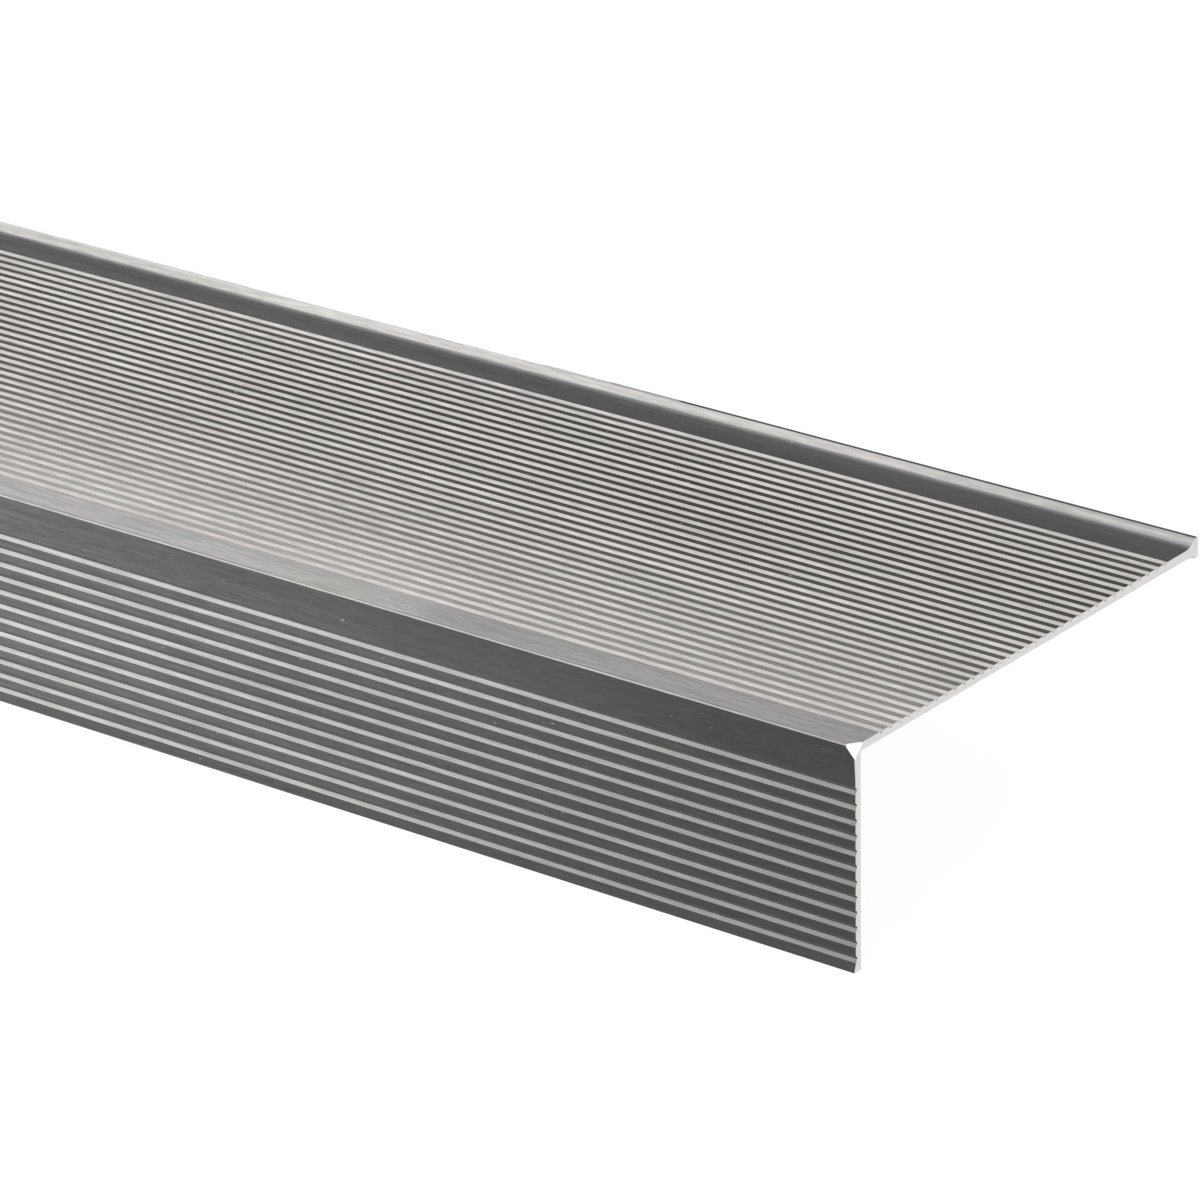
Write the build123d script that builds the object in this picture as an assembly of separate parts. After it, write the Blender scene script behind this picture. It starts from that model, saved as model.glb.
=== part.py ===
from build123d import *
import os

# Threshold strip: one length of extruded aluminium angle that caps the front edge of a door sill or
# step. A wide ribbed tread lies on the sill, a short ribbed leg hangs down its front face, and a
# raised lip with a small foot under it stiffens the back edge. It is a single piece, with no holes.
#
# Frame, in millimetres: X runs along the strip, +Y from the front leg towards the back edge, +Z up.
# The origin is in the inner corner, where the tread's underside meets the back of the front leg,
# halfway along the strip. The section is drawn in (y, z) and extruded along X.

# ---- Overall size ----
LENGTH = 914.4           # along X
DEPTH = 95.25            # nose to back edge
DROP = 38.1              # tread's face to the toe of the front leg

# ---- Walls ----
TREAD_WALL = 1.3         # tread, nose to the middle
BACK_WALL = 1.6          # tread, at the back band
LEG_WALL = 1.3           # front leg, over its grooves
NOSE_WALL = 1.7          # front leg, at the nose
NOSE_RADIUS = 0.4        # outer corner between tread and front leg
THICKENING_START = 52.0  # from the nose: where the tread starts to grow towards BACK_WALL
NOSE_BAND_CLEAR = 1.2    # from the end of the leg's tapered band down to the first groove

# ---- Grooves: flat lands with rounded V grooves between them ----
TREAD_GROOVES = 33
TREAD_PITCH = 2.45
TREAD_FIRST = 7.25       # nose to the first groove's centre
TREAD_OPENING = 1.24
TREAD_GROOVE_DEPTH = 0.5
LEG_GROOVES = 12
LEG_PITCH = 2.57
LEG_FIRST = 7.6          # tread's face down to the first groove's centre
LEG_OPENING = 1.22
LEG_GROOVE_DEPTH = 0.46
TREAD_ROOT_RADIUS = 0.25
LEG_ROOT_RADIUS = 0.36
LEG_ROOT_RISE = 0.3      # how far a leg groove's root lies above its middle
MOUTH_MARGIN = 0.5       # how far a groove's cutting wedge stands out of the surface

# ---- Back edge: raised lip above, foot below ----
LIP_HEIGHT = 1.4         # above the back band
LIP_LAND = 0.95          # narrow face on top of the lip
LIP_RUN = 2.9            # length of the hollow curve from the back band up to the lip
LIP_FALL = 0.12          # from the front of that face to its back
LIP_RADIUS = 0.1         # back corner of the lip
FOOT_DEPTH = 0.6         # below the tread's underside
FOOT_LAND = 0.8
FOOT_RUN = 2.0           # slope from the underside down to the foot
RELIEF_FROM_BACK = 1.25  # small groove across that slope
RELIEF_OPENING = 0.5
RELIEF_DEPTH = 0.45
RELIEF_ROOT_RADIUS = 0.08

# ---- Toe of the front leg ----
TOE_FLARE = 0.4          # how far the toe stands forward of the leg
TOE_RUN = 1.38           # height of the flare
TOE_LAND = 0.2           # upright stretch under the flare

# ---- Outer corner snipped off at both ends ----
SNIP_X = 1.8             # along the nose
SNIP_Y = 2.4             # along the tread's end
SNIP_Z = 2.3             # down the leg's end

NOSE_Y = -NOSE_WALL
BACK_Y = NOSE_Y + DEPTH
TOE_Z = TREAD_WALL - DROP
LIP_Z = BACK_WALL + LIP_HEIGHT
BAND_BACK_Y = BACK_Y - LIP_LAND - LIP_RUN
BAND_FRONT_Y = NOSE_Y + TREAD_FIRST + (TREAD_GROOVES - 1) * TREAD_PITCH + TREAD_OPENING / 2
NOSE_BAND_Z = TREAD_WALL - LEG_FIRST + LEG_OPENING / 2 + NOSE_BAND_CLEAR


def tread_height(y):
    """Height of the tread's lands above its underside."""
    start = NOSE_Y + THICKENING_START
    share = (y - start) / (BAND_FRONT_Y - start)
    return TREAD_WALL + (BACK_WALL - TREAD_WALL) * min(max(share, 0), 1)


def outline():
    """The section before its grooves are cut, drawn anticlockwise from the inner corner."""
    foot_y = BACK_Y - FOOT_LAND
    with BuildLine() as path:
        Polyline(
            (0, 0),
            (foot_y - FOOT_RUN, 0),
            (foot_y, -FOOT_DEPTH),
            (BACK_Y, -FOOT_DEPTH),
            (BACK_Y, LIP_Z - LIP_FALL),
            (BACK_Y - LIP_LAND, LIP_Z),
        )
        TangentArc((BAND_BACK_Y, BACK_WALL), (BACK_Y - LIP_LAND, LIP_Z), tangent=(1, 0))
        Polyline(
            (BAND_BACK_Y, BACK_WALL),
            (BAND_FRONT_Y, BACK_WALL),
            (NOSE_Y + THICKENING_START, TREAD_WALL),
            (NOSE_Y, TREAD_WALL),
            (-LEG_WALL, NOSE_BAND_Z),
            (-LEG_WALL, TOE_Z + TOE_LAND + TOE_RUN),
            (-LEG_WALL - TOE_FLARE, TOE_Z + TOE_LAND),
            (-LEG_WALL - TOE_FLARE, TOE_Z),
            (0, TOE_Z),
            (0, 0),
        )
    face = make_face(path.edges())
    for corner, radius in (((NOSE_Y, TREAD_WALL), NOSE_RADIUS), ((BACK_Y, LIP_Z - LIP_FALL), LIP_RADIUS)):
        face = fillet(face.vertices().sort_by_distance(corner)[0], radius)
    return face


def wedge(opening, depth, root_radius, root_shift=0):
    """A V cutter pointing down, its mouth centred on the origin, with a rounded root."""
    spread = MOUTH_MARGIN / depth
    blank = Polygon(
        (-opening / 2 - (opening / 2 + root_shift) * spread, MOUTH_MARGIN),
        (root_shift, -depth),
        (opening / 2 + (opening / 2 - root_shift) * spread, MOUTH_MARGIN),
        align=None,
    )
    root = blank.vertices().sort_by(Axis.Y)[0]
    return fillet(root, root_radius)


def tread_grooves():
    cutter = wedge(TREAD_OPENING, TREAD_GROOVE_DEPTH, TREAD_ROOT_RADIUS)
    centres = [NOSE_Y + TREAD_FIRST + i * TREAD_PITCH for i in range(TREAD_GROOVES)]
    return [Pos(y, tread_height(y)) * cutter for y in centres]


def leg_grooves():
    cutter = Rot(0, 0, 90) * wedge(LEG_OPENING, LEG_GROOVE_DEPTH, LEG_ROOT_RADIUS, LEG_ROOT_RISE)
    centres = [TREAD_WALL - LEG_FIRST - i * LEG_PITCH for i in range(LEG_GROOVES)]
    return [Pos(-LEG_WALL, z) * cutter for z in centres]


def relief_groove():
    """The small groove that runs up into the slope in front of the foot."""
    down_the_slope = FOOT_LAND + FOOT_RUN - RELIEF_FROM_BACK
    height = -FOOT_DEPTH * down_the_slope / FOOT_RUN
    cutter = Rot(0, 0, 180) * wedge(RELIEF_OPENING, RELIEF_DEPTH, RELIEF_ROOT_RADIUS)
    return Pos(BACK_Y - RELIEF_FROM_BACK, height) * cutter


def snip_plane(side):
    """The flat that takes off the sharp outer corner at the end on this side, facing outwards."""
    end_x = side * LENGTH / 2
    on_nose = Vector(end_x - side * SNIP_X, NOSE_Y, TREAD_WALL)
    outward = Vector(side / SNIP_X, -1 / SNIP_Y, 1 / SNIP_Z)
    return Plane(origin=on_nose, z_dir=outward)


def build_strip():
    section = outline() - (tread_grooves() + leg_grooves() + [relief_groove()])
    strip = extrude(Plane.YZ * section, amount=LENGTH / 2, both=True)
    for side in (1, -1):
        strip = split(strip, bisect_by=snip_plane(side), keep=Keep.BOTTOM)
    return strip


os.makedirs("parts", exist_ok=True)
export_step(build_strip(), "parts/nosing_strip.step")
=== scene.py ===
import math

import bmesh
import bpy
from mathutils import Matrix, Quaternion, Vector


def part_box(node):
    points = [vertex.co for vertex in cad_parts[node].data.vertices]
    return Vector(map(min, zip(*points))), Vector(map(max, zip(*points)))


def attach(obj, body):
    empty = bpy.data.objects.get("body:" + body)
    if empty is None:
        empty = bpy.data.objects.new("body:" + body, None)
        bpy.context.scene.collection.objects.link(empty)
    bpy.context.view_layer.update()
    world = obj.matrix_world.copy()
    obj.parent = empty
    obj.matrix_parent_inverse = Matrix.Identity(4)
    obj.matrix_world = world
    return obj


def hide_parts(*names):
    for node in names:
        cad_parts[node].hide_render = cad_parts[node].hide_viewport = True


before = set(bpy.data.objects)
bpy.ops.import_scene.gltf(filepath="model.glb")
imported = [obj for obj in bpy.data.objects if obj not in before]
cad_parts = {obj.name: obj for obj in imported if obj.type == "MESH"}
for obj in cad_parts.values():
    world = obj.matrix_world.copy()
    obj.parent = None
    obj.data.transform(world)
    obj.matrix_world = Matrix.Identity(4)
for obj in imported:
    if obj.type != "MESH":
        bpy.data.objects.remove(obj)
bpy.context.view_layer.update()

# Threshold strip: one length of mill-finish aluminium angle, ribbed on its tread and its front leg,
# in a white studio, seen from above and in front of its near end.
NODE = "nosing_strip"
NODE_LOW, NODE_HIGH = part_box(NODE)
MM = 0.001               # one millimetre, in metres

# ---- Section, in millimetres: y runs back from the leg, z up from the tread's underside ----
LENGTH = (NODE_HIGH[0] - NODE_LOW[0]) / MM
DEPTH = 95.25            # nose to back edge
DROP = 38.1              # tread's face to toe
TREAD_WALL = 1.3         # tread, nose to the middle
BACK_WALL = 1.6          # tread, at the back band
LEG_WALL = 1.3           # front leg, over its grooves
NOSE_WALL = 1.7          # front leg, at the nose
NOSE_RADIUS = 0.4        # outer corner between tread and front leg
THICKENING_START = 52.0  # from the nose: where the tread starts to grow towards BACK_WALL
NOSE_BAND_CLEAR = 1.2    # from the end of the leg's tapered band down to the first groove
BAND_RADIUS = 16.0       # where that band eases into the leg's upright face

TREAD_GROOVES = 33
TREAD_PITCH = 2.45
TREAD_FIRST = 7.25       # nose to the first groove's centre
TREAD_OPENING = 1.24
TREAD_GROOVE_DEPTH = 0.5
TREAD_ROOT_RADIUS = 0.25
TREAD_EDGE_RADIUS = 0.09
LEG_GROOVES = 12
LEG_PITCH = 2.57
LEG_FIRST = 7.6          # tread's face down to the first groove's centre
LEG_OPENING = 1.22
LEG_GROOVE_DEPTH = 0.46
LEG_ROOT_RADIUS = 0.36
LEG_ROOT_RISE = 0.3      # how far a leg groove's root lies above its middle
LEG_EDGE_RADIUS = 0.14   # where a groove meets a flat, as on the tread

LIP_HEIGHT = 1.4         # above the back band
LIP_LAND = 0.95          # narrow face on top of the lip
LIP_FALL = 0.12          # from the front of that face to its back
LIP_RUN = 2.9            # length of the hollow curve from the back band up to the lip
LIP_RADIUS = 0.1
FOOT_DEPTH = 0.6         # below the tread's underside
FOOT_LAND = 0.8
FOOT_RUN = 2.0           # slope from the underside down to the foot
RELIEF_FROM_BACK = 1.25  # small groove across that slope
RELIEF_OPENING = 0.5
RELIEF_DEPTH = 0.45
RELIEF_ROOT_RADIUS = 0.08
TOE_FLARE = 0.4          # how far the toe stands forward of the leg
TOE_RUN = 1.38           # height of the flare
TOE_LAND = 0.2           # upright stretch under the flare
SMALL_RADIUS = 0.12      # die radius on the section's other corners

SNIP_X, SNIP_Y, SNIP_Z = 1.8, 2.4, 2.3  # corner taken off at each end: along x, back and down
END_CHAMFER = 0.05       # edge left by the saw

RING_SPACING = 30.0      # rings of the mesh, along the strip
ARC_STEP = math.radians(15)
LIP_STEPS = 14           # stretches in the lip's hollow curve
SHARP_ANGLE = math.radians(32)          # faces that meet at more than this are not shaded smooth

NOSE_Y = -NOSE_WALL
BACK_Y = NOSE_Y + DEPTH
TOE_Z = TREAD_WALL - DROP
LIP_Z = BACK_WALL + LIP_HEIGHT
BAND_BACK_Y = BACK_Y - LIP_LAND - LIP_RUN
BAND_FRONT_Y = NOSE_Y + TREAD_FIRST + (TREAD_GROOVES - 1) * TREAD_PITCH + TREAD_OPENING / 2
NOSE_BAND_Z = TREAD_WALL - LEG_FIRST + LEG_OPENING / 2 + NOSE_BAND_CLEAR


# ---- Section ----
def tread_height(y):
    """Height of the tread's flats above its underside."""
    start = NOSE_Y + THICKENING_START
    share = (y - start) / (BAND_FRONT_Y - start)
    return TREAD_WALL + (BACK_WALL - TREAD_WALL) * min(max(share, 0), 1)


def underside_and_back():
    """Corners (y, z, radius) from the inner corner to the top of the lip."""
    foot_y = BACK_Y - FOOT_LAND
    slope = -FOOT_DEPTH / FOOT_RUN
    relief_y = BACK_Y - RELIEF_FROM_BACK
    top = relief_y - RELIEF_OPENING / 2
    base = relief_y + RELIEF_OPENING / 2

    def on_slope(y):
        return max(-FOOT_DEPTH, slope * (y - foot_y + FOOT_RUN))

    return [
        (0, 0, 0),
        (foot_y - FOOT_RUN, 0, SMALL_RADIUS),
        (top, on_slope(top), 0),
        (relief_y, on_slope(relief_y) + RELIEF_DEPTH, RELIEF_ROOT_RADIUS),
        (base, on_slope(base), 0),
        (BACK_Y, -FOOT_DEPTH, SMALL_RADIUS),
        (BACK_Y, LIP_Z - LIP_FALL, LIP_RADIUS),
    ]


def lip_curve():
    """The hollow curve from the lip's top face down to the back band."""
    turn = 2 * math.atan(LIP_HEIGHT / LIP_RUN)
    radius = LIP_RUN / math.sin(turn)
    points = []
    for i in range(LIP_STEPS + 1):
        angle = turn * (1 - i / LIP_STEPS)
        y = BAND_BACK_Y + radius * math.sin(angle)
        z = BACK_WALL + radius * (1 - math.cos(angle))
        points.append((y, z, SMALL_RADIUS if i == 0 else 0))
    return points


def tread_corners():
    """Corners along the tread's face, from the back band to the nose."""
    corners = []
    for i in reversed(range(TREAD_GROOVES)):
        y = NOSE_Y + TREAD_FIRST + i * TREAD_PITCH
        z = tread_height(y)
        corners.append((y + TREAD_OPENING / 2, z, TREAD_EDGE_RADIUS))
        corners.append((y, z - TREAD_GROOVE_DEPTH, TREAD_ROOT_RADIUS))
        corners.append((y - TREAD_OPENING / 2, z, TREAD_EDGE_RADIUS))
    return corners + [(NOSE_Y, TREAD_WALL, NOSE_RADIUS)]


def leg_corners():
    """Corners down the leg's face and round its toe."""
    corners = [(-LEG_WALL, NOSE_BAND_Z, BAND_RADIUS)]
    for i in range(LEG_GROOVES):
        z = TREAD_WALL - LEG_FIRST - i * LEG_PITCH
        corners.append((-LEG_WALL, z + LEG_OPENING / 2, LEG_EDGE_RADIUS))
        corners.append((-LEG_WALL + LEG_GROOVE_DEPTH, z + LEG_ROOT_RISE, LEG_ROOT_RADIUS))
        corners.append((-LEG_WALL, z - LEG_OPENING / 2, LEG_EDGE_RADIUS))
    toe_y = -LEG_WALL - TOE_FLARE
    return corners + [
        (-LEG_WALL, TOE_Z + TOE_LAND + TOE_RUN, SMALL_RADIUS),
        (toe_y, TOE_Z + TOE_LAND, SMALL_RADIUS),
        (toe_y, TOE_Z, SMALL_RADIUS),
        (0, TOE_Z, SMALL_RADIUS),
    ]


def round_corner(before, corner, after):
    """The arc that replaces one corner, or the corner itself if it has no radius or hardly turns."""
    point, radius = Vector(corner[:2]), corner[2]
    to_before = (Vector(before[:2]) - point).normalized()
    to_after = (Vector(after[:2]) - point).normalized()
    half = to_before.angle(to_after) / 2
    turn = math.pi - 2 * half
    if not radius or turn < ARC_STEP / 3:
        return [point]
    start = point + to_before * radius / math.tan(half)
    centre = point + (to_before + to_after).normalized() * radius / math.sin(half)
    side = 1 if to_before.cross(to_after) < 0 else -1
    steps = max(2, math.ceil(turn / ARC_STEP))
    arm = start - centre
    return [centre + Matrix.Rotation(side * turn * i / steps, 2) @ arm for i in range(steps + 1)]


def section_points():
    """The whole outline, anticlockwise from the inner corner, with its arcs worked out."""
    corners = underside_and_back() + lip_curve() + tread_corners() + leg_corners()
    points = []
    for i, corner in enumerate(corners):
        points += round_corner(corners[i - 1], corner, corners[(i + 1) % len(corners)])
    return points


def inset(points, distance):
    """The same closed outline moved inwards, for the chamfer at a sawn end."""
    moved = []
    for i, point in enumerate(points):
        along = (points[(i + 1) % len(points)] - points[i - 1]).normalized()
        moved.append(point + Vector((-along.y, along.x)) * distance)
    return moved


# ---- Mesh ----
def ring_stations():
    """Places along the strip, each with how far the outline is drawn in there."""
    half = LENGTH / 2
    inner = half - END_CHAMFER
    count = round(2 * inner / RING_SPACING)
    stations = [(-half, END_CHAMFER)]
    stations += [(-inner + 2 * inner * i / count, 0) for i in range(count + 1)]
    return stations + [(half, END_CHAMFER)]


def snip(bm, side):
    """Takes off the sharp outer corner at one end, as a flat."""
    end_x = side * LENGTH / 2
    on_nose = Vector((end_x - side * SNIP_X, NOSE_Y, TREAD_WALL)) * MM
    outward = Vector((side / SNIP_X, -1 / SNIP_Y, 1 / SNIP_Z)).normalized()
    everything = bm.verts[:] + bm.edges[:] + bm.faces[:]
    cut = bmesh.ops.bisect_plane(bm, geom=everything, plane_co=on_nose, plane_no=outward,
                                 clear_outer=True)["geom_cut"]
    rim = [part for part in cut if isinstance(part, bmesh.types.BMEdge)]
    for face in bmesh.ops.holes_fill(bm, edges=rim)["faces"]:
        face.material_index = FILED


def strip_mesh():
    """Rings of the outline joined along the strip, closed at both ends, with two corners snipped."""
    outline = section_points()
    chamfered = inset(outline, END_CHAMFER)
    bm = bmesh.new()
    rings = []
    for x, drawn_in in ring_stations():
        points = chamfered if drawn_in else outline
        rings.append([bm.verts.new((x * MM, p.x * MM, p.y * MM)) for p in points])
    for near, far in zip(rings, rings[1:]):
        for i in range(len(outline)):
            j = (i + 1) % len(outline)
            face = bm.faces.new((near[i], near[j], far[j], far[i]))
            face.material_index = SAWN if near is rings[0] or far is rings[-1] else MILL
    for ring in (rings[0][::-1], rings[-1]):
        bm.faces.new(ring).material_index = SAWN
    for side in (1, -1):
        snip(bm, side)
    bmesh.ops.recalc_face_normals(bm, faces=bm.faces)
    bmesh.ops.triangulate(bm, faces=[f for f in bm.faces if len(f.verts) > 4])
    mesh = bpy.data.meshes.new("nosing_strip_fine")
    bm.to_mesh(mesh)
    bm.free()
    return mesh


# ---- Materials ----
MILL, SAWN, FILED = 0, 1, 2             # the mesh's material slots

# Noise scales: cells for each metre along x, y and z.
DIE_LINES = (50, 1700, 1700)
GRAIN = (240, 1900, 1900)
WIDE_PATCHES = (14, 60, 60)
FAINT_TINTS = (40, 260, 260)
NICKS = (700, 2400, 2400)
SAW_MARKS = (500, 700, 5200)
FILE_MARKS = (3000, 3000, 900)

# Ranges of a noise's values.
USUAL = (0.3, 0.7)                      # most of them lie in it
TINT_RANGE = (0.36, 0.64)
NICK_RANGE = (0.785, 0.810)             # where a nick starts, and where it is at its deepest

# Heights of the marks, in metres.
DIE_LINE_HEIGHT = 0.00003
NICK_DEPTH = 0.00004
SAW_MARK_HEIGHT = 0.00003
FILE_MARK_HEIGHT = 0.00002

# Pairs of colours that a noise wanders between.
TREAD_METAL = (0.816, 0.788, 0.754, 1), (0.840, 0.778, 0.754, 1)
LEG_METAL = (0.806, 0.798, 0.768, 1), (0.818, 0.792, 0.784, 1)
SAWN_METAL = (0.78, 0.77, 0.76, 1), (0.86, 0.85, 0.84, 1)
FILED_METAL = (0.90, 0.90, 0.89, 1), (0.97, 0.97, 0.96, 1)
BLACK, WHITE = (0, 0, 0, 1), (1, 1, 1, 1)

# Where the leg's metal takes over from the tread's, in metres: start, full.
LEG_STARTS = (0.0005, -0.0020)          # along z
BACK_BAND_STARTS = (0.0835, 0.0850)     # along y
NOSE_BAND_STARTS = (0.0048, 0.0036)     # along y
BAND_SHARE = 0.8                        # how far the two smooth bands go over to it


class Nodes:
    """A short way to add and join the nodes of one material."""

    def __init__(self, tree):
        self.tree = tree
        tree.nodes.clear()

    def add(self, kind, **settings):
        node = self.tree.nodes.new(kind)
        for name, value in settings.items():
            setattr(node, name, value)
        return node

    def put(self, node, socket, value):
        if isinstance(value, bpy.types.NodeSocket):
            self.tree.links.new(value, node.inputs[socket])
        else:
            node.inputs[socket].default_value = value

    def stretched(self, scale):
        """The object's own coordinates in metres, times a scale for each axis."""
        coords = self.add("ShaderNodeTexCoord")
        mapping = self.add("ShaderNodeMapping")
        self.put(mapping, "Vector", coords.outputs["Object"])
        self.put(mapping, "Scale", scale)
        return mapping.outputs["Vector"]

    def noise(self, scale, detail, roughness=0.5):
        """Noise with its own scale along x, y and z, in cells for each metre."""
        node = self.add("ShaderNodeTexNoise")
        self.put(node, "Vector", self.stretched(scale))
        self.put(node, "Scale", 1.0)
        self.put(node, "Detail", detail)
        self.put(node, "Roughness", roughness)
        return node.outputs["Fac"]

    def spread(self, value, low, high, to_low, to_high):
        """Maps a value from one range to another, held inside it."""
        node = self.add("ShaderNodeMapRange")
        for socket, number in zip(("Value", "From Min", "From Max", "To Min", "To Max"),
                                  (value, low, high, to_low, to_high)):
            self.put(node, socket, number)
        return node.outputs["Result"]

    def math(self, operation, a, b):
        """One arithmetic step on two numbers or sockets."""
        node = self.add("ShaderNodeMath", operation=operation)
        self.put(node, 0, a)
        self.put(node, 1, b)
        return node.outputs["Value"]

    def blend(self, factor, a, b, mode="MIX"):
        """Colour b laid on colour a."""
        node = self.add("ShaderNodeMix", data_type="RGBA", blend_type=mode)
        self.put(node, 0, factor)
        self.put(node, 6, a)
        self.put(node, 7, b)
        return node.outputs[2]

    def bump(self, height, strength, distance, normal=None):
        """A normal tilted by a height, on top of an earlier normal if there is one."""
        node = self.add("ShaderNodeBump")
        self.put(node, "Strength", strength)
        self.put(node, "Distance", distance)
        self.put(node, "Height", height)
        if normal:
            self.put(node, "Normal", normal)
        return node.outputs["Normal"]


def new_material(name):
    material = bpy.data.materials.new(name)
    material.use_nodes = True
    return material, Nodes(material.node_tree)


def finish_material(nodes, **sockets):
    """Joins a Principled shader to the output, with its sockets named by keyword."""
    shader = nodes.add("ShaderNodeBsdfPrincipled")
    for name, value in sockets.items():
        nodes.put(shader, name.replace("_", " "), value)
    nodes.put(nodes.add("ShaderNodeOutputMaterial"), "Surface", shader.outputs["BSDF"])


def metal_by_place(n):
    """The metal's own colour: warmer on the ribbed tread, cooler on the leg and the smooth bands."""
    hue = n.spread(n.noise(FAINT_TINTS, detail=2), *TINT_RANGE, 0.0, 1.0)
    place = n.add("ShaderNodeSeparateXYZ")
    n.put(place, 0, n.stretched((1, 1, 1)))
    on_leg = n.spread(place.outputs["Z"], *LEG_STARTS, 0.0, 1.0)
    on_back_band = n.spread(place.outputs["Y"], *BACK_BAND_STARTS, 0.0, BAND_SHARE)
    on_nose_band = n.spread(place.outputs["Y"], *NOSE_BAND_STARTS, 0.0, BAND_SHARE)
    cooler = n.math("MAXIMUM", on_leg, n.math("MAXIMUM", on_back_band, on_nose_band))
    return n.blend(cooler, n.blend(hue, *TREAD_METAL), n.blend(hue, *LEG_METAL))


def mill_aluminium():
    """Extruded face: satin metal with die lines along X, faint tints, grain and a few small nicks."""
    material, n = new_material("mill_aluminium")
    lines = n.noise(DIE_LINES, detail=4, roughness=0.65)
    nicks = n.spread(n.noise(NICKS, detail=1), *NICK_RANGE, 0.0, 1.0)
    tone = n.spread(lines, *USUAL, 0.86, 1.02)
    tone = n.math("MULTIPLY", tone, n.spread(n.noise(WIDE_PATCHES, detail=3), *USUAL, 0.86, 1.00))
    tone = n.math("MULTIPLY", tone, n.spread(n.noise(GRAIN, detail=2), *USUAL, 0.88, 1.06))

    colour = n.blend(1.0, metal_by_place(n), n.blend(tone, BLACK, WHITE), "MULTIPLY")
    roughness = n.spread(lines, *USUAL, 0.27, 0.20)
    shine = n.spread(nicks, 0.0, 1.0, 1.0, 0.55)
    normal = n.bump(nicks, 0.4, NICK_DEPTH, n.bump(lines, 0.25, DIE_LINE_HEIGHT))
    finish_material(n, Base_Color=colour, Metallic=shine, Roughness=roughness, Normal=normal)
    return material


def saw_cut():
    """Sawn end: pale, even and matt, with fine marks across it."""
    material, n = new_material("saw_cut_end")
    marks = n.noise(SAW_MARKS, detail=3, roughness=0.6)
    colour = n.blend(n.spread(marks, *USUAL, 0.0, 1.0), *SAWN_METAL)
    normal = n.bump(marks, 0.3, SAW_MARK_HEIGHT)
    finish_material(n, Base_Color=colour, Metallic=0.25, Roughness=0.5, Normal=normal)
    return material


def filed_corner():
    """Filed flat at the outer corner: the brightest metal on the strip."""
    material, n = new_material("filed_corner")
    marks = n.noise(FILE_MARKS, detail=2)
    colour = n.blend(n.spread(marks, *USUAL, 0.0, 1.0), *FILED_METAL)
    normal = n.bump(marks, 0.2, FILE_MARK_HEIGHT)
    finish_material(n, Base_Color=colour, Metallic=0.9, Roughness=0.15, Normal=normal)
    return material


def build_strip():
    """The one piece you see, in place of the plain CAD mesh."""
    mesh = strip_mesh()
    mesh.shade_smooth()
    mesh.set_sharp_from_angle(angle=SHARP_ANGLE)
    for material in (mill_aluminium(), saw_cut(), filed_corner()):
        mesh.materials.append(material)
    strip = bpy.data.objects.new("nosing_strip_fine", mesh)
    bpy.context.scene.collection.objects.link(strip)
    weighted = strip.modifiers.new("flat_faces_lead", "WEIGHTED_NORMAL")
    weighted.keep_sharp = True
    weighted.weight = 100
    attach(strip, "root")
    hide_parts(NODE)


# ---- Studio ----
NEAR_CORNER = Vector((LENGTH / 2, NOSE_Y, TREAD_WALL)) * MM
FLOOR_HALF = 40.0        # metres
DOME_RADIUS = 38.0       # metres
FLOOR_GLOW, BACKDROP_GLOW = 0.95, 1.0

# Directions round the strip, as the metal reflects them: x along it, y towards the back, z up.
SOFTBOX_AXIS = Vector((-0.62, -0.20, 0.76))
SOFTBOX_FALLOFF = [      # (cosine of the angle from the axis, brightness)
    (-1.0, 0.055), (0.15, 0.055), (0.46, 0.045), (0.60, 0.062), (0.70, 0.085), (0.79, 0.19),
    (0.86, 0.26), (0.91, 0.28), (0.95, 0.50), (0.97, 0.86), (1.0, 0.95),
]
PATCHES = [              # what reflects it, brightness, and where a direction enters it and is fully in
    ("groove walls, far end", 0.12, {"X": (-0.580, -0.635), "Z": (0.50, 0.80)}),
    ("leg flats, far end", 0.31, {"X": (-0.582, -0.600), "Y": (-0.30, -0.60), "Z": (-0.75, -0.42)}),
    ("toe, far end", -0.22, {"X": (-0.582, -0.600), "Y": (-0.30, -0.60), "Z": (-0.30, -0.05)}),
    ("leg groove walls", 0.14, {"Y": (-0.35, -0.55), "Z": (0.04, 0.26)}),
    ("leg groove walls, far end", 0.86, {"X": (-0.540, -0.605), "Y": (-0.35, -0.55), "Z": (0.04, 0.24)}),
    ("tread flats, far end", 0.045, {"X": (-0.575, -0.630), "Y": (0.30, 0.60)}),
    ("back band, near end", 0.04, {"X": (-0.570, -0.520), "Y": (0.30, 0.60)}),
    ("filed corner", 1.10, {"X": (0.55, 0.70), "Y": (0.10, -0.10), "Z": (0.40, 0.55)}),
    ("undersides of leg grooves", 0.13, {"Z": (-0.52, -0.70)}),
    ("undersides of leg grooves, far end", 0.10, {"X": (-0.570, -0.600), "Z": (-0.50, -0.68)}),
]

# Cards behind the strip's back edge, in metres from its near end, its nose and its underside.
CARDS = [                # name, (middle along x, distance behind), width, (lowest, highest), power
    ("back_card_low", (-0.45, 0.0985), 1.2, (0.0424, 0.0900), 0.0500),
    ("back_card_high", (-0.45, 0.1015), 1.2, (0.0544, 0.0900), 0.0430),
    ("far_card", (-0.67, 0.1045), 1.0, (0.0554, 0.0900), 0.0310),
    ("lip_card", (-0.45, 0.1040), 1.2, (0.0040, 0.0140), 0.0015),
    ("lip_card_far_1", (-0.61, 0.1034), 1.0, (0.0034, 0.0058), 0.0042),
    ("lip_card_far_2", (-0.625, 0.1037), 1.0, (0.0034, 0.0058), 0.0042),
    ("lip_card_far_3", (-0.64, 0.1043), 1.0, (0.0034, 0.0058), 0.0042),
]


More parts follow.
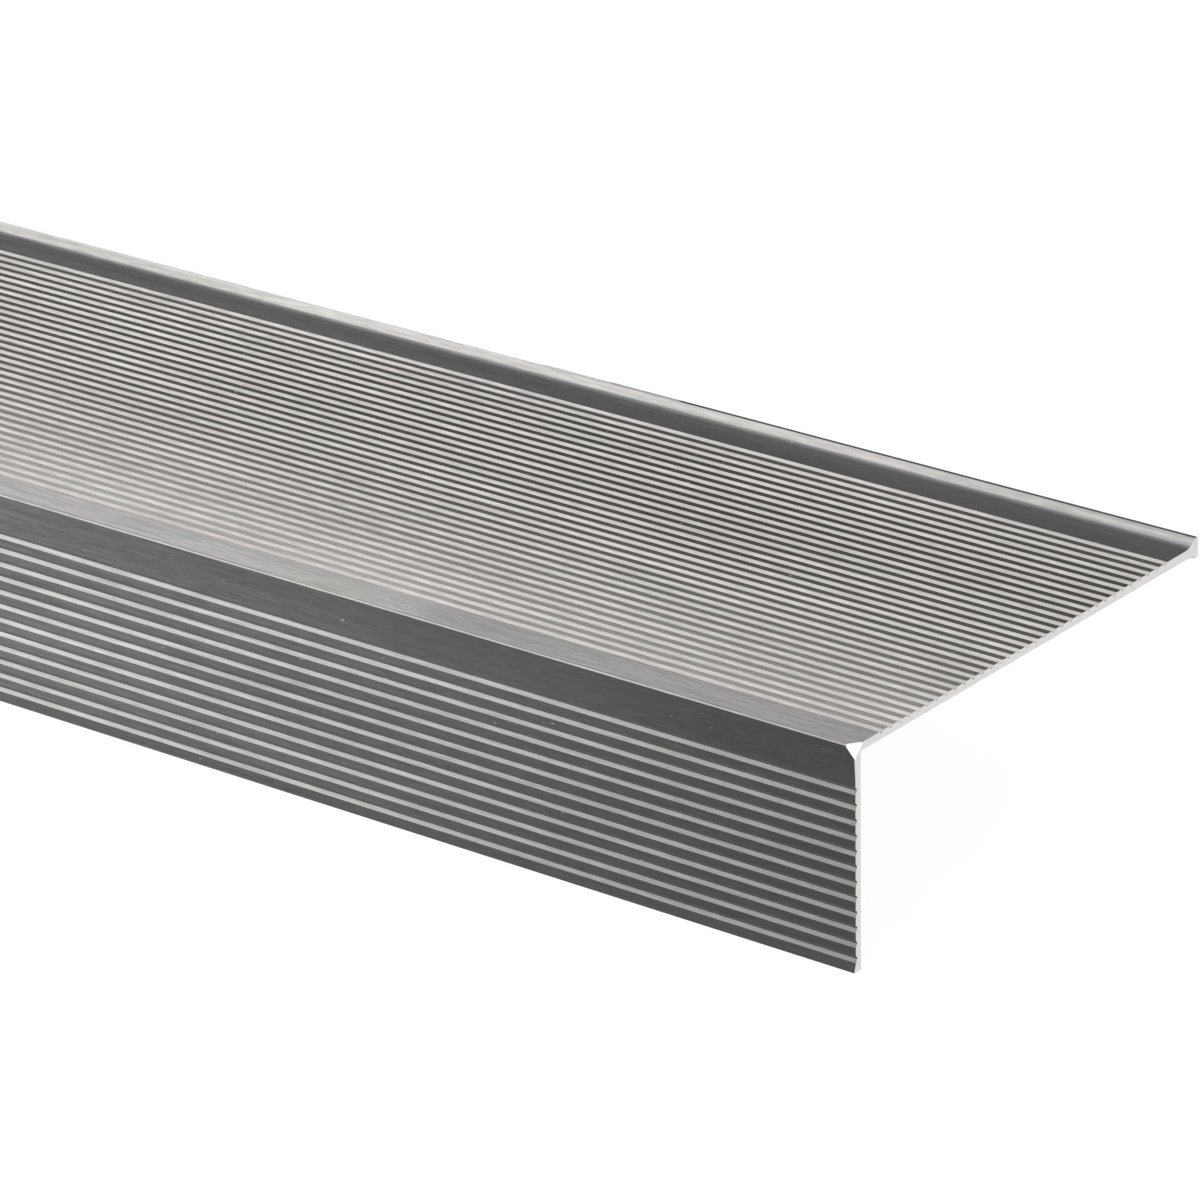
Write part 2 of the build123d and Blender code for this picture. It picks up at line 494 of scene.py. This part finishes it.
def add_stage(name, mesh, material):
    """A part of the set: seen, but neither reflected nor casting a shadow."""
    stage = bpy.data.objects.new(name, mesh)
    mesh.materials.append(material)
    bpy.context.scene.collection.objects.link(stage)
    stage.visible_glossy = False
    stage.visible_shadow = False


def floor():
    """A plain pale floor at the strip's lowest point."""
    mesh = bpy.data.meshes.new("floor")
    half, z = FLOOR_HALF, NODE_LOW[2]
    corners = [(-half, -half, z), (half, -half, z), (half, half, z), (-half, half, z)]
    mesh.from_pydata(corners, [], [(0, 1, 2, 3)])
    material, n = new_material("pale_floor")
    finish_material(n, Base_Color=(0.08, 0.08, 0.08, 1), Roughness=0.9,
                    Emission_Color=WHITE, Emission_Strength=FLOOR_GLOW)
    add_stage("floor", mesh, material)


def backdrop():
    """A plain pale dome round the whole set."""
    bm = bmesh.new()
    bmesh.ops.create_uvsphere(bm, u_segments=48, v_segments=24, radius=DOME_RADIUS)
    bmesh.ops.reverse_faces(bm, faces=bm.faces)
    mesh = bpy.data.meshes.new("backdrop")
    bm.to_mesh(mesh)
    bm.free()
    material, n = new_material("pale_backdrop")
    emission = n.add("ShaderNodeEmission")
    n.put(emission, "Color", WHITE)
    n.put(emission, "Strength", BACKDROP_GLOW)
    n.put(n.add("ShaderNodeOutputMaterial"), "Surface", emission.outputs["Emission"])
    add_stage("backdrop", mesh, material)


def softbox_glow(n, direction):
    """An overhead softbox that leans to the front: bright round its axis, dim away from it."""
    facing = n.add("ShaderNodeVectorMath", operation="DOT_PRODUCT")
    n.put(facing, 0, direction)
    n.put(facing, 1, SOFTBOX_AXIS.normalized())
    ramp = n.add("ShaderNodeValToRGB")
    n.put(ramp, "Fac", n.spread(facing.outputs["Value"], -1, 1, 0, 1))
    elements = ramp.color_ramp.elements
    while len(elements) < len(SOFTBOX_FALLOFF):
        elements.new(0.5)
    for element, (cosine, value) in zip(elements, SOFTBOX_FALLOFF):
        element.position = (cosine + 1) / 2
        element.color = (value, value, value, 1)
    return ramp.outputs["Color"]


def surroundings():
    """What the metal reflects all round: the softbox, and panels that lift or darken some faces."""
    world = bpy.data.worlds.new("studio")
    bpy.context.scene.world = world
    world.use_nodes = True
    n = Nodes(world.node_tree)
    direction = n.add("ShaderNodeTexCoord").outputs["Generated"]
    total = softbox_glow(n, direction)
    split = n.add("ShaderNodeSeparateXYZ")
    n.put(split, 0, direction)
    for _, brightness, limits in PATCHES:
        patch = brightness
        for axis, (start, full) in limits.items():
            patch = n.math("MULTIPLY", n.spread(split.outputs[axis], start, full, 0.0, 1.0), patch)
        total = n.math("ADD", total, patch)
    background = n.add("ShaderNodeBackground")
    n.put(background, "Color", total)
    n.put(n.add("ShaderNodeOutputWorld"), "Surface", background.outputs["Background"])


def card(name, place, target, size, power):
    """One evenly lit panel, which itself stays out of the picture."""
    light = bpy.data.lights.new(name, "AREA")
    light.shape = "RECTANGLE"
    light.size, light.size_y = size
    light.energy = power
    panel = bpy.data.objects.new(name, light)
    panel.location = place
    panel.rotation_euler = (target - place).to_track_quat("-Z", "Y").to_euler()
    panel.visible_camera = False
    bpy.context.scene.collection.objects.link(panel)


def cards():
    """Cards close behind the strip, which the front of the tread and the back band reflect."""
    for name, (along, behind), width, (low, high), power in CARDS:
        place = Vector((NEAR_CORNER.x + along, NOSE_Y * MM + behind, (low + high) / 2))
        card(name, place, place + Vector((0, -1, 0)), (width, high - low), power)


# ---- Camera ----
AZIMUTH, ELEVATION, ROLL = math.radians(37.96), math.radians(23.31), math.radians(-1.10)
DISTANCE = 0.998                        # metres
AIM = Vector((-35.3, -16.2, 21.05))     # from the near corner, in millimetres
FOCAL_LENGTH, SENSOR_WIDTH = 199.0, 36.0
CLIP_START, CLIP_END = 0.05, 100.0      # metres


def camera():
    """A long lens above and in front of the strip's near end, turned a little about its own axis."""
    aim = NEAR_CORNER + AIM * MM
    back = Vector((math.sin(AZIMUTH) * math.cos(ELEVATION),
                   -math.cos(AZIMUTH) * math.cos(ELEVATION), math.sin(ELEVATION)))
    data = bpy.data.cameras.new("camera")
    data.lens, data.sensor_width = FOCAL_LENGTH, SENSOR_WIDTH
    data.clip_start, data.clip_end = CLIP_START, CLIP_END
    view = bpy.data.objects.new("camera", data)
    view.location = aim + back * DISTANCE
    view.rotation_mode = "QUATERNION"
    view.rotation_quaternion = (-back).to_track_quat("-Z", "Y") @ Quaternion((0, 0, 1), ROLL)
    bpy.context.scene.collection.objects.link(view)
    bpy.context.scene.camera = view


build_strip()
floor()
backdrop()
surroundings()
cards()
camera()
bpy.context.scene.view_settings.view_transform = "Standard"
